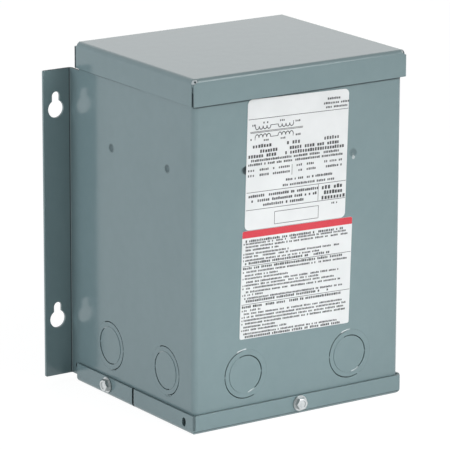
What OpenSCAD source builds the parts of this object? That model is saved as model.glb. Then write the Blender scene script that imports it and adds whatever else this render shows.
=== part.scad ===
// Buck-boost transformer in a wall-mounting sheet-steel case.
// One bent sheet makes the front, the sides and the keyhole flanges. A back panel, a lid and two
// bottom trays close it, and the potted core and coils fill it above the wiring compartment.
// X is across, +Y points at the wall, +Z is up. The origin is the middle of the footprint, at the base.

/* [Case] */
// Width of the case over its side walls
case_w = 141.5; // [125:0.5:220]
// Depth from the front wall's face to the mounting wall
case_d = 130.5; // [115:0.5:200]
// Height from the base to the top of the lid
case_h = 203.2; // [200:0.2:320]
// Thickness of the sheet steel
sheet_t = 1.5; // [0.9:0.1:2]
// Inside radius of the bends between the front and the side walls
bend_r = 1.6; // [0.8:0.1:3]
// Inside radius of the bends between the side walls and the flanges
flange_bend_r = 0.7; // [0.4:0.1:3]
// Space between the back panel and the mounting wall
stand_off = 11.3; // [9:0.1:20]
// Height of the case sheet's lower edge above the base
case_lift = 3.4; // [2.4:0.1:4]
// Width of each mounting flange beyond the side wall
flange_w = 17.9; // [16.5:0.1:24]
// Space between the flanges' top and the lid's skirt
flange_drop = 1.6; // [0.5:0.1:6]
// Radius of the flanges' outer corners
flange_corner_r = 0.7; // [0.5:0.1:4]

/* [Keyholes] */
// Diameter of the round entry
key_round_d = 10.4; // [9:0.1:12]
// Width of the slot above the entry
key_slot_w = 5.2; // [4:0.1:6.5]
// Rise from the entry's centre to the slot's seat
key_rise = 7.6; // [7:0.1:10]
// Distance from the side wall's face to the keyholes
key_inset = 9.6; // [8.8:0.1:10.5]
// Height of the lower entries' centres
key_low_z = 37.4; // [25:0.1:45]
// Distance between the lower and the upper entries
key_pitch = 125.6; // [90:0.1:128]

/* [Lid] */
// Height of the lid's skirt
lid_skirt_h = 15.4; // [10:0.1:25]
// How far the lid's front skirt stops short of its side faces
lid_end_inset = 0.6; // [0.1:0.1:1.2]
// The same for its rear skirt
lid_rear_inset = 0.1; // [0.1:0.1:1.2]
// Gap between those two skirts and the ends of the side skirts
lid_seam = 0.1; // [0.1:0.1:1]
// How far the lid's front and rear bends stop short of its side faces
bend_end_inset = 1.9; // [1.3:0.1:2.2]
// How far its side bends stop short of its front and rear faces
bend_end_setback = 2.5; // [1.7:0.1:2.6]
// Diameter of the relief holes at the ends of the lid's front and rear bends
relief_d = 2.4; // [1.5:0.1:3.5]
// Distance from the lid's side faces to the centres of those holes
relief_inset = 2.3; // [2:0.1:3]
// Inside radius of the bends of the lid and the trays
pan_bend_r = 1.2; // [0.6:0.1:2.5]
// Clearance between the case's walls and the skirts round them
pan_gap = 0.3; // [0.1:0.1:0.6]

/* [Bottom trays] */
// Height of the trays' flanges
tray_flange_h = 11.3; // [11:0.1:16]
// Depth of the front cover, from the front wall's face to its rear edge
cover_d = 59.6; // [45:0.1:65]
// Gap between the front cover and the rear tray
tray_split = 1.8; // [0.5:0.1:4]
// Gap between two flanges of a tray at a corner
corner_seam = 0.1; // [0.1:0.1:2]
// How far the front cover's left side flange stops short of its front face
cover_setback = 0.2; // [0.1:0.1:1.2]
// How far its right side flange and bend stop short of its front face
cover_notch = 2.6; // [1.8:0.1:4]
// Corner radius of the front flange's lower right end
cover_corner_r = 3; // [1:0.1:5]
// Width of the slot in the front cover's side flanges
cover_slot_w = 3.6; // [2:0.1:5]
// Height of that slot
cover_slot_h = 5.2; // [5.2:0.1:6]
// Distance from the front wall's face to the slot's centre
cover_slot_y = 7.4; // [7:0.1:11]
// Height of the slot's centre above the base
cover_slot_z = 5.9; // [5.3:0.1:6.6]

/* [Screws] */
// Height of the screws' axes
screw_z = 6.8; // [5.6:0.1:6.8]
// Distance from the front wall's face to the rear tray's screws
side_screw_y = 87.4; // [75:0.1:100]
// Diameter of the washer face
washer_d = 9; // [8:0.1:10.6]
// Thickness of the washer face
washer_t = 0.9; // [0.6:0.1:1.5]
// Width of the hexagon across its flats
hex_af = 6.4; // [5.5:0.1:7.9]
// Height of the head, with its washer face
head_h = 3.6; // [3:0.1:6]
// Diameter of the dished top of the head
dish_d = 4; // [2:0.1:5]
// Depth of the dished top
dish_depth = 0.5; // [0.2:0.1:1.5]
// Diameter of the shank
shank_d = 4.2; // [3.5:0.1:5]
// Length of the shank under the washer face
shank_l = 9; // [5:0.5:14]
// Clearance round the shank, on its diameter, in the trays' holes
shank_play = 0.8; // [0.2:0.1:1.2]

/* [Knockouts] */
// Diameter of the larger conduit hole
ko_outer_d = 28.6; // [27:0.1:35]
// Diameter of the smaller conduit hole
ko_inner_d = 22.2; // [18:0.1:24]
// Width of the cut round a ring or a disc
ko_kerf = 0.5; // [0.2:0.05:1]
// Width of the uncut tie in the middle of a cut
ko_tie = 0.9; // [0.5:0.1:3]
// Radial clearance where the ring and the disc are left flush
ko_play = 0.05; // [0.02:0.01:0.15]
// Tilt of the disc
ko_tilt = 1.5; // [0:0.1:3]
// Distance between the two knockouts of the front wall
front_ko_pitch = 71.9; // [50:0.1:90]
// Height of the front wall's knockouts
front_ko_z = 29.6; // [28:0.1:34]
// Distance from the front wall's face to the side walls' first knockout
side_ko_y = 29.1; // [22:0.1:34]
// Distance between the two knockouts of a side wall
side_ko_pitch = 58.2; // [40:0.1:62]
// Height of the side walls' knockouts
side_ko_z = 30.1; // [28:0.1:34]

/* [Dimples and small holes] */
// Diameter of the pressed dimples
dimple_d = 4.4; // [2:0.1:6]
// Depth of the dimples
dimple_depth = 1; // [0.2:0.1:1.1]
// Height of the dimples
dimple_z = 147.5; // [100:0.1:160]
// Distance between the front wall's dimples
front_dimple_pitch = 74.6; // [40:0.1:100]
// Distance from the front wall's face to the side walls' first dimple
side_dimple_y = 27; // [15:0.1:40]
// Distance between the side walls' dimples
side_dimple_pitch = 57.9; // [40:0.1:70]
// Diameter of the small hole low in each side wall, behind the back panel
tab_hole_d = 2.8; // [1.5:0.1:4]
// Distance from the mounting wall to that hole
tab_hole_back = 7.2; // [6:0.1:8]
// Height of that hole
tab_hole_z = 8.9; // [6:0.1:12]

/* [Labels] */
// Thickness of the labels
label_t = 0.2; // [0.1:0.05:0.28]
// How far the labels sit left of the middle
label_shift = 1.8; // [0:0.05:10]
// Clockwise turn of the labels
label_turn = 1.6; // [0:0.1:1.6]
// Width of the rating label
rating_w = 68.7; // [50:0.1:90]
// Height of the rating label
rating_h = 74.4; // [50:0.1:74.8]
// Distance from the lid's skirt down to the rating label
rating_drop = 1.5; // [1:0.1:3]
// Corner radius of the rating label
rating_r = 3; // [0.5:0.1:6]
// Width of the lower label
lower_w = 75.3; // [50:0.1:90]
// Height of the lower label
lower_h = 62.4; // [40:0.1:63]
// Space between the two labels
label_gap = 0.3; // [0.3:0.1:2]
// Corner radius of the lower label
lower_r = 1.2; // [0.5:0.1:6]

/* [Potted core] */
// Height of the potted core's underside, which is the wiring compartment's ceiling
core_z = 54; // [50:0.5:70]
// Clearance between the potting and the sheet steel
core_gap = 0.2; // [0.1:0.1:1]
// Radius of the potting's upright corners
core_corner_r = 4; // [2:0.5:10]
// Space between the potting and the lid
core_headroom = 3; // [1:0.5:20]

/* [Back panel] */
// Depth of the back panel's side flanges
back_flange_d = 8; // [5:0.5:8.5]
// How far those flanges stop short of the rear tray below and the side walls' ends above
back_flange_end = 4; // [2:0.5:30]

/* [Hidden] */

$fn = 64;
eps = 0.01;               // how far a cut runs past the face that it opens
through = 3 * sheet_t;    // length of a cut that goes through one sheet
half_w = case_w / 2;
inner_half_w = half_w - sheet_t;
outer_bend = bend_r + sheet_t;
flange_outer_bend = flange_bend_r + sheet_t;
pan_outer_bend = pan_bend_r + sheet_t;
overhang = pan_gap + sheet_t;                     // from the case's face to a skirt's face
front_reach = overhang + head_h;                  // from the front wall's face to the screw's top
front_y = front_reach - (case_d + front_reach) / 2;
wall_y = front_y + case_d;
back_y = wall_y - stand_off;                      // rear face of the back panel
pan_w = case_w + 2 * overhang;
pan_front_y = front_y - overhang;
pan_back_y = back_y + overhang;
flange_top_z = case_h - lid_skirt_h - flange_drop;
// how far the hollow of the lid's bend reaches down where the case's walls stand
lid_hollow = pan_bend_r - sqrt(pow(pan_bend_r, 2) - pow(max(pan_bend_r - pan_gap, 0), 2));
case_top_z = case_h - sheet_t - lid_hollow - 0.2;
key_x = half_w + key_inset;
rating_z = case_h - lid_skirt_h - rating_drop - rating_h / 2;    // height of the rating label's centre
lower_z = rating_z - (rating_h + lower_h) / 2 - label_gap;        // height of the lower label's centre
side_ko_ys = [front_y + side_ko_y, front_y + side_ko_y + side_ko_pitch];
side_screw_row_y = front_y + side_screw_y;
case_slot_less = 1;       // how much shorter the case's slot is than the cover's slot in front of it
ko_outer_r = ko_outer_d / 2;
ko_inner_r = ko_inner_d / 2;
// Where the cuts lie, in degrees on the wall's face, counted anticlockwise from its right
outer_cut_from = 100;
outer_cut_to = 293;
inner_cut_from = -62;
inner_cut_to = 112;
tilt_axis_angle = 110;

enamel = [0.52, 0.58, 0.60];
zinc = [0.80, 0.82, 0.82];
label_white = [0.96, 0.97, 0.97];
potting = [0.12, 0.12, 0.13];

// ---- shared shapes ----

// A quarter of a ring, in the quadrant that the signs of sx and sy name.
module quarter_ring(r_in, r_out, sx, sy) {
    intersection() {
        difference() {
            circle(r = r_out);
            circle(r = r_in);
        }
        translate([sx > 0 ? 0 : -r_out, sy > 0 ? 0 : -r_out])
            square(r_out);
    }
}

module rounded_rect(w, h, r) {
    square([w - 2 * r, h], center = true);
    square([w, h - 2 * r], center = true);
    for (sx = [-1, 1], sy = [-1, 1])
        translate([sx * (w / 2 - r), sy * (h / 2 - r)])
            circle(r = r);
}

// Both sides of the case, from one drawn at +X.
module both_sides() {
    children();
    mirror([1, 0, 0])
        children();
}

// Puts what is drawn on the XY plane, seen from +Z, on the front wall's face, seen from outside.
module on_front_wall(x, z) {
    translate([x, front_y, z])
        rotate([90, 0, 0])
            children();
}

// The same for the left wall's face: what points right there points at the front of the case.
module on_left_wall(y, z) {
    translate([-half_w, y, z])
        rotate([90, 0, -90])
            children();
}

// The flat of a mounting flange, from its bend to its rounded outer corners.
module flange_outline() {
    h = flange_top_z - case_lift;
    w = flange_w - flange_bend_r;
    r = flange_corner_r;
    square([w - r, h]);
    translate([0, r])
        square([w, h - 2 * r]);
    for (y = [r, h - r])
        translate([w - r, y])
            circle(r = r);
}

// ---- case: front wall, side walls and mounting flanges in one bent sheet ----

module case_walls_plan() {
    translate([-half_w + outer_bend, front_y])
        square([case_w - 2 * outer_bend, sheet_t]);
    both_sides() {
        translate([half_w - outer_bend, front_y + outer_bend])
            quarter_ring(bend_r, outer_bend, 1, -1);
        translate([inner_half_w, front_y + outer_bend])
            square([sheet_t, case_d - outer_bend - flange_outer_bend]);
        translate([half_w + flange_bend_r, wall_y - flange_outer_bend])
            quarter_ring(flange_bend_r, flange_outer_bend, -1, 1);
    }
}

module keyhole() {
    cylinder(d = key_round_d, h = through, center = true);
    translate([0, key_rise, 0])
        cylinder(d = key_slot_w, h = through, center = true);
    translate([-key_slot_w / 2, 0, -through / 2])
        cube([key_slot_w, key_rise, through]);
}

// A slot with round ends, cut through one sheet.
module upright_slot(w, h) {
    for (y = [w - h, h - w] / 2)
        translate([0, y, 0])
            cylinder(d = w, h = through, center = true);
    cube([w, h - w, through], center = true);
}

module dimple() {
    depth = min(dimple_depth, sheet_t - 0.2);
    r = (pow(dimple_d / 2, 2) + pow(depth, 2)) / (2 * depth);
    translate([0, 0, r - depth])
        sphere(r = r);
}

module case() {
    color(enamel)
        difference() {
            union() {
                translate([0, 0, case_lift])
                    linear_extrude(case_top_z - case_lift)
                        case_walls_plan();
                both_sides()
                    translate([half_w + flange_bend_r, wall_y, case_lift])
                        rotate([90, 0, 0])
                            linear_extrude(sheet_t)
                                flange_outline();
            }
            // the sheet behind the back panel stops below the lid's skirt
            translate([-half_w - flange_w, back_y, flange_top_z])
                cube([case_w + 2 * flange_w, stand_off + 1, case_h]);
            for (sx = [-1, 1], z = [key_low_z, key_low_z + key_pitch])
                translate([sx * key_x, wall_y - sheet_t / 2, z])
                    rotate([90, 0, 0])
                        keyhole();
            for (x = [-1, 1] * front_ko_pitch / 2)
                on_front_wall(x, front_ko_z)
                    cylinder(r = ko_outer_r, h = through, center = true);
            for (x = [-1, 1] * front_dimple_pitch / 2)
                on_front_wall(x, dimple_z)
                    dimple();
            on_front_wall(0, screw_z)
                cylinder(d = shank_d, h = through, center = true);
            both_sides() {
                for (y = side_ko_ys)
                    on_left_wall(y, side_ko_z)
                        cylinder(r = ko_outer_r, h = through, center = true);
                for (y = [0, side_dimple_pitch])
                    on_left_wall(front_y + side_dimple_y + y, dimple_z)
                        dimple();
                on_left_wall(side_screw_row_y, screw_z)
                    cylinder(d = shank_d, h = through, center = true);
                on_left_wall(wall_y - tab_hole_back, tab_hole_z)
                    cylinder(d = tab_hole_d, h = through, center = true);
                on_left_wall(front_y + cover_slot_y, cover_slot_z)
                    upright_slot(cover_slot_w, cover_slot_h - case_slot_less);
            }
        }
}

// ---- back panel: a flat web with a flange along each side wall ----

module back_panel() {
    flange_low_z = tray_flange_h + back_flange_end;
    flange_high_z = flange_top_z - back_flange_end;
    web_y = back_y - sheet_t;
    color(enamel) {
        for (span = [[case_lift, flange_low_z], [flange_high_z, case_top_z]])
            translate([-inner_half_w, web_y, span[0]])
                cube([2 * inner_half_w, sheet_t, span[1] - span[0]]);
        translate([0, 0, flange_low_z])
            linear_extrude(flange_high_z - flange_low_z) {
                translate([-inner_half_w + outer_bend, web_y])
                    square([2 * (inner_half_w - outer_bend), sheet_t]);
                both_sides() {
                    translate([inner_half_w - outer_bend, web_y + outer_bend])
                        quarter_ring(bend_r, outer_bend, 1, -1);
                    translate([inner_half_w - sheet_t, web_y + outer_bend])
                        square([sheet_t, back_flange_d - outer_bend]);
                }
            }
    }
}

// ---- lid and bottom trays: shallow folded pans ----

// A pan's section across two of its bends, with its underside on y = 0.
module pan_outline(w, h, r) {
    translate([-w / 2, r])
        square([w, h - r]);
    translate([r - w / 2, 0])
        square([w - 2 * r, h]);
    for (sx = [-1, 1])
        translate([sx * (w / 2 - r), r])
            circle(r = r);
}

// A block with its underside on z = 0 and its front on y = 0, rounded below along both sides. Its lower
// front and rear edges are rounded too when both_ends is true, and the front one alone when it is not.
module pan_block(w, d, h, r, both_ends) {
    bent_d = both_ends ? d : d + 2 * r;
    intersection() {
        translate([0, d, 0])
            rotate([90, 0, 0])
                linear_extrude(d)
                    pan_outline(w, h, r);
        translate([-w / 2, bent_d / 2, 0])
            rotate([90, 0, 90])
                linear_extrude(w)
                    pan_outline(bent_d, h, r);
    }
}

// A pan with its plate on z = 0, its flanges upwards and its front on y = 0. It has a rear flange too
// when both_ends is true, and is open at the rear when it is not.
module pan(d, flange_h, both_ends) {
    difference() {
        pan_block(pan_w, d, flange_h, pan_outer_bend, both_ends);
        translate([0, sheet_t, sheet_t])
            pan_block(pan_w - 2 * sheet_t, d - (both_ends ? 2 : 0) * sheet_t, flange_h, pan_bend_r, both_ends);
    }
}

// A cut at a pan's front right corner, from x in from its side face outwards, and from y = from to y = to.
module corner_cut(x, from, to, z, h) {
    translate([pan_w / 2 - x, from, z])
        cube([x + 1, to - from, h]);
}

// The lid's corner: the front or rear skirt runs past the side skirt's end, and both bends stop short of
// the corner.
module lid_corner_cuts(end_inset) {
    side_end = sheet_t + lid_seam;
    corner_cut(end_inset, -1, side_end, pan_outer_bend, lid_skirt_h);
    corner_cut(sheet_t + eps, sheet_t, side_end, pan_outer_bend, lid_skirt_h);
    corner_cut(bend_end_inset, -1, bend_end_setback, -1, pan_outer_bend + 1);
    translate([pan_w / 2 - relief_inset, pan_outer_bend, pan_outer_bend])
        rotate([135, 0, 0])
            cylinder(d = relief_d, h = 2 * pan_outer_bend);
}

module lid() {
    lid_d = pan_back_y - pan_front_y;
    color(enamel)
        translate([0, pan_front_y, case_h])
            mirror([0, 0, 1])
                difference() {
                    pan(lid_d, lid_skirt_h, true);
                    both_sides() {
                        lid_corner_cuts(lid_end_inset);
                        translate([0, lid_d, 0])
                            mirror([0, 1, 0])
                                lid_corner_cuts(lid_rear_inset);
                    }
                }
}

// The front flange's left end lies beside the side flange. Its right end stands free, with its corner
// rounded, where the side flange and the bend below it are cut back.
module cover_corner_cuts() {
    front_end = sheet_t + corner_seam;
    mirror([1, 0, 0]) {
        corner_cut(front_end, -1, cover_setback, pan_outer_bend, tray_flange_h);
        translate([pan_w / 2 - front_end, 0, pan_outer_bend])
            cube([corner_seam, 2 * sheet_t, tray_flange_h]);
    }
    corner_cut(front_end, -1, cover_notch, -1, tray_flange_h + 2);
    translate([pan_w / 2 - front_end - cover_corner_r, cover_notch, 0])
        rotate([90, 0, 0])
            linear_extrude(cover_notch + 1)
                difference() {
                    translate([0, -1])
                        square([cover_corner_r + 1, cover_corner_r + 1]);
                    translate([0, cover_corner_r])
                        circle(r = cover_corner_r);
                }
}

module front_cover() {
    color(enamel)
        difference() {
            translate([0, pan_front_y, 0])
                difference() {
                    pan(cover_d + overhang, tray_flange_h, false);
                    cover_corner_cuts();
                }
            on_front_wall(0, screw_z)
                translate([0, 0, overhang])
                    cylinder(d = shank_d + shank_play, h = through, center = true);
            both_sides()
                on_left_wall(front_y + cover_slot_y, cover_slot_z)
                    translate([0, 0, overhang])
                        upright_slot(cover_slot_w, cover_slot_h);
        }
}

// The rear tray's rear flange stands between the side walls, so its plate is narrowed for that bend.
module rear_tray() {
    tray_y = front_y + cover_d + tray_split;
    bend_y = pan_back_y - pan_outer_bend;
    rear_half = inner_half_w - pan_gap;
    color(enamel)
        difference() {
            union() {
                difference() {
                    translate([0, pan_back_y, 0])
                        rotate([90, 0, 0])
                            linear_extrude(pan_back_y - tray_y)
                                difference() {
                                    pan_outline(pan_w, tray_flange_h, pan_outer_bend);
                                    translate([0, sheet_t])
                                        pan_outline(pan_w - 2 * sheet_t, tray_flange_h, pan_bend_r);
                                }
                    translate([-rear_half - corner_seam, bend_y, -eps])
                        cube([2 * (rear_half + corner_seam), 2 * pan_outer_bend, through]);
                }
                translate([-rear_half, bend_y, pan_outer_bend])
                    rotate([90, 0, 90])
                        linear_extrude(2 * rear_half) {
                            quarter_ring(pan_bend_r, pan_outer_bend, 1, -1);
                            translate([pan_bend_r, 0])
                                square([sheet_t, tray_flange_h - pan_outer_bend]);
                        }
            }
            both_sides()
                on_left_wall(side_screw_row_y, screw_z)
                    translate([0, 0, overhang])
                        cylinder(d = shank_d + shank_play, h = through, center = true);
        }
}

// ---- screws: hexagon heads with a washer face, seated on the trays ----

module screw() {
    chamfer = 0.6;
    translate([0, 0, overhang])
        color(zinc) {
            cylinder(d = washer_d, h = washer_t);
            difference() {
                intersection() {
                    cylinder(d = hex_af / cos(30), h = head_h, $fn = 6);
                    union() {
                        cylinder(d = hex_af / cos(30) + 1, h = head_h - chamfer);
                        translate([0, 0, head_h - chamfer])
                            cylinder(d1 = hex_af / cos(30), d2 = hex_af - chamfer, h = chamfer);
                    }
                }
                translate([0, 0, head_h - dish_depth])
                    cylinder(d1 = dish_d - dish_depth, d2 = dish_d + dish_depth, h = 2 * dish_depth);
            }
            translate([0, 0, -shank_l])
                cylinder(d = shank_d - 2 * ko_play, h = shank_l + eps);
        }
}

module front_cover_screw() {
    on_front_wall(0, screw_z)
        screw();
}

module left_tray_screw() {
    on_left_wall(side_screw_row_y, screw_z)
        screw();
}

module right_tray_screw() {
    mirror([1, 0, 0])
        left_tray_screw();
}

// ---- knockouts: a ring and a disc in each conduit hole ----

// One cut of a knockout, as two arcs that leave a tie between them. It is taken from outer radius r inwards.
module knockout_cut(r, from, to) {
    tie_angle = ko_tie / r * 180 / PI;
    middle = round((from + to) / 360) * 180;
    for (arc = [[from, middle - tie_angle / 2], [middle + tie_angle / 2, to]])
        rotate([0, 0, arc[0]])
            rotate_extrude(angle = arc[1] - arc[0])
                translate([r - ko_kerf, -sheet_t - through / 2])
                    square([ko_kerf + 1, sheet_t + through]);
}

module knockout_ring() {
    r = ko_outer_r - ko_play;
    color(enamel)
        difference() {
            translate([0, 0, -sheet_t])
                cylinder(r = r, h = sheet_t);
            translate([0, 0, -sheet_t])
                cylinder(r = ko_inner_r, h = through, center = true);
            knockout_cut(r, outer_cut_from, outer_cut_to);
        }
}

module knockout_disc() {
    r = ko_inner_r - ko_play;
    color(enamel)
        translate([0, 0, -sheet_t / 2])
            rotate(a = ko_tilt, v = [cos(tilt_axis_angle), sin(tilt_axis_angle), 0])
                difference() {
                    cylinder(r = r, h = sheet_t, center = true);
                    knockout_cut(r, inner_cut_from, inner_cut_to);
                }
}

// The side walls' knockouts are those of the front wall, turned half round.
module left_knockout_place(y) {
    on_left_wall(y, side_ko_z)
        rotate([0, 0, 180])
            children();
}

// ---- labels: thin stickers on the front wall ----

module label(w, h, z, r) {
    color(label_white)
        on_front_wall(-label_shift, z)
            rotate([0, 0, -label_turn])
                linear_extrude(label_t)
                    rounded_rect(w, h, r);
}

module rating_label() {
    label(rating_w, rating_h, rating_z, rating_r);
}

module lower_label() {
    label(lower_w, lower_h, lower_z, lower_r);
}

// ---- potted core: the core and coils, sealed in compound above the wiring compartment ----

module potted_core() {
    w = 2 * (inner_half_w - core_gap);
    d = back_y - front_y - 2 * (sheet_t + core_gap);
    color(potting)
        translate([0, (front_y + back_y) / 2, core_z])
            linear_extrude(case_top_z - core_headroom - core_z)
                rounded_rect(w, d, core_corner_r);
}

case();
back_panel();
lid();
front_cover();
rear_tray();
front_cover_screw();
left_tray_screw();
right_tray_screw();
on_front_wall(-front_ko_pitch / 2, front_ko_z) knockout_ring();  // knockout_ring_front_left
on_front_wall(-front_ko_pitch / 2, front_ko_z) knockout_disc();  // knockout_disc_front_left
on_front_wall(front_ko_pitch / 2, front_ko_z) knockout_ring();  // knockout_ring_front_right
on_front_wall(front_ko_pitch / 2, front_ko_z) knockout_disc();  // knockout_disc_front_right
left_knockout_place(side_ko_ys[0]) knockout_ring();  // knockout_ring_left_front
left_knockout_place(side_ko_ys[0]) knockout_disc();  // knockout_disc_left_front
left_knockout_place(side_ko_ys[1]) knockout_ring();  // knockout_ring_left_rear
left_knockout_place(side_ko_ys[1]) knockout_disc();  // knockout_disc_left_rear
mirror([1, 0, 0]) left_knockout_place(side_ko_ys[0]) knockout_ring();  // knockout_ring_right_front
mirror([1, 0, 0]) left_knockout_place(side_ko_ys[0]) knockout_disc();  // knockout_disc_right_front
mirror([1, 0, 0]) left_knockout_place(side_ko_ys[1]) knockout_ring();  // knockout_ring_right_rear
mirror([1, 0, 0]) left_knockout_place(side_ko_ys[1]) knockout_disc();  // knockout_disc_right_rear
rating_label();
lower_label();
potted_core();
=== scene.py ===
import math

import bmesh
import bpy
from mathutils import Matrix, Vector


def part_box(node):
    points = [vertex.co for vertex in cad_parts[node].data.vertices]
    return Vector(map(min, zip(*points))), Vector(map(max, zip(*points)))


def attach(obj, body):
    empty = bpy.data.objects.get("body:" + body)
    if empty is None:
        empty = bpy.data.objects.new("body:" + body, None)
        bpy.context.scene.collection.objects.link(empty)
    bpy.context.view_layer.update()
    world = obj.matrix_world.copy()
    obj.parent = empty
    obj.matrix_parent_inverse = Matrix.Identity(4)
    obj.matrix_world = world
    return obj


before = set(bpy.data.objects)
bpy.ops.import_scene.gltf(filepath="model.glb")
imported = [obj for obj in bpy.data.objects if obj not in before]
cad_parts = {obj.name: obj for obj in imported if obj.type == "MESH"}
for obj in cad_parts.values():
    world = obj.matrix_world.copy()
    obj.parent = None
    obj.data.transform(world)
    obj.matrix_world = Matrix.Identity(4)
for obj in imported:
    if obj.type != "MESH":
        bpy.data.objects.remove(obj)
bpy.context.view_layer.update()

# Looks of a buck-boost transformer in a wall-mounting sheet-steel case: grey baked enamel,
# zinc-plated screws, two film labels with their print, the lips that the knockouts' shear leaves
# and the closures behind the lid's corners. Metres, +Y towards the wall, +Z up. Colours are linear.

MM = 0.001

# ---- finishes ----

ENAMEL = (0.176, 0.254, 0.268)
ENAMEL_PALE = (0.192, 0.271, 0.285)
# primer's colour for dust and edge wear, also painted as highlight on the knockouts' lips
PRIMER_AND_HIGHLIGHT = (0.27, 0.33, 0.34)
# pale colours painted as highlight on the lid's corner closures and on a dimple's lower slope
PAINTED_HIGHLIGHT = (0.44, 0.50, 0.51)
PAINTED_HIGHLIGHT_PALE = (0.56, 0.61, 0.62)
# bare steel's colour for cut ends, also used for painted shade in strips and marks
BARE_STEEL_AND_SHADE = (0.030, 0.050, 0.056)
RUST_AND_SHADE = (0.040, 0.060, 0.066)
ZINC = (0.66, 0.69, 0.70)
ZINC_DULL = (0.55, 0.58, 0.59)
# a darker zinc painted on the screws' flanks as shade
ZINC_FLANK_SHADE = (0.33, 0.36, 0.36)
FILM = (0.765, 0.785, 0.79)
FILM_SHADE = (0.72, 0.74, 0.745)
INK = (0.035, 0.037, 0.04)
INK_THIN = (0.075, 0.078, 0.083)
BAND = (0.60, 0.045, 0.065)
BAND_THIN = (0.63, 0.06, 0.08)
RESIN = (0.012, 0.012, 0.013)
SAND = (0.05, 0.047, 0.042)

# ---- labels: widths and heights, the lower one's corner radius, and their clockwise turn ----

RATING_SIZE = (68.7 * MM, 74.4 * MM)
LOWER_SIZE = (75.3 * MM, 62.4 * MM)
LOWER_CORNER_R = 1.2 * MM
LABEL_TURN = math.radians(1.6)
INK_T = 0.03 * MM

# ---- knockouts: the larger and smaller hole's radius ----

OUTER_R = 14.3 * MM
INNER_R = 11.1 * MM


class Graph:
    """A node tree while it is being built."""

    def __init__(self, tree):
        self.tree = tree

    def fill(self, socket, value):
        """Gives an input its value: another node's output, or a constant."""
        if isinstance(value, bpy.types.NodeSocket):
            self.tree.links.new(value, socket)
        else:
            socket.default_value = value

    def add(self, kind, inputs=None, **settings):
        """Puts in a node and fills its inputs, each with a value or with another node's output."""
        made = self.tree.nodes.new(kind)
        for name, value in settings.items():
            setattr(made, name, value)
        for name, value in (inputs or {}).items():
            self.fill(made.inputs[name], value)
        made.location = (200 * len(self.tree.nodes), 0)
        return made

    def math(self, operation, a, b=0.0):
        return self.add("ShaderNodeMath", {0: a, 1: b}, operation=operation).outputs[0]

    def between(self, value, low, high, to_low=0.0, to_high=1.0):
        """Maps value from low..high to to_low..to_high, smoothly and without overshoot."""
        made = self.add(
            "ShaderNodeMapRange",
            {
                "Value": value,
                "From Min": low,
                "From Max": high,
                "To Min": to_low,
                "To Max": to_high,
            },
            interpolation_type="SMOOTHSTEP",
        )
        return made.outputs["Result"]

    def blend(self, share, a, b):
        """Mixes colour a towards colour b."""
        made = self.add("ShaderNodeMix", {"Factor": share}, data_type="RGBA")
        for socket, value in ((made.inputs[6], a), (made.inputs[7], b)):
            constant = not isinstance(value, bpy.types.NodeSocket)
            self.fill(socket, (*value, 1.0) if constant else value)
        return made.outputs[2]


def new_group(name, inputs, outputs, kind="ShaderNodeTree"):
    """A node group with its named sockets. inputs are (name, type, default), and outputs are
    (name, type)."""
    tree = bpy.data.node_groups.new(name, kind)
    for label, socket, default in inputs:
        kind_name = "NodeSocket" + socket
        made = tree.interface.new_socket(label, in_out="INPUT", socket_type=kind_name)
        if default is not None:
            made.default_value = default
    for label, socket in outputs:
        tree.interface.new_socket(label, in_out="OUTPUT", socket_type="NodeSocket" + socket)
    graph = Graph(tree)
    return graph, graph.add("NodeGroupInput").outputs, graph.add("NodeGroupOutput").inputs


# ---- effects that several finishes share ----


def cloudiness_group():
    """Slow, faint change of shade over a surface, from 0 to 1."""
    g, given, put = new_group(
        "cloudiness",
        [("Position", "Vector", None), ("Size", "Float", 0.04), ("Stretch Down", "Float", 1.0)],
        [("Shade", "Float")],
    )
    squash = g.add("ShaderNodeCombineXYZ", {"X": 1.0, "Y": 1.0, "Z": given["Stretch Down"]})
    drawn = g.add(
        "ShaderNodeVectorMath", {0: given["Position"], 1: squash.outputs[0]}, operation="DIVIDE"
    )
    noise = g.add(
        "ShaderNodeTexNoise",
        {
            "Vector": drawn.outputs[0],
            "Scale": g.math("DIVIDE", 1.0, given["Size"]),
            "Detail": 3.0,
            "Roughness": 0.55,
        },
    )
    g.tree.links.new(g.between(noise.outputs[0], 0.3, 0.7), put["Shade"])
    return g.tree


def orange_peel_group():
    """The fine roll of a sprayed and baked coat, as a height from 0 to 1."""
    g, given, put = new_group(
        "orange_peel",
        [("Position", "Vector", None), ("Size", "Float", 0.0016), ("Fine Share", "Float", 0.3)],
        [("Height", "Float")],
    )
    heights = []
    for size, detail in ((1.0, 1.0), (0.3, 0.0)):
        scale = g.math("DIVIDE", 1.0, g.math("MULTIPLY", given["Size"], size))
        noise = g.add(
            "ShaderNodeTexNoise", {"Vector": given["Position"], "Scale": scale, "Detail": detail}
        )
        heights.append(noise.outputs[0])
    mixed = g.add(
        "ShaderNodeMix",
        {"Factor": given["Fine Share"], 2: heights[0], 3: heights[1]},
        data_type="FLOAT",
    )
    g.tree.links.new(mixed.outputs[0], put["Height"])
    return g.tree


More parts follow.
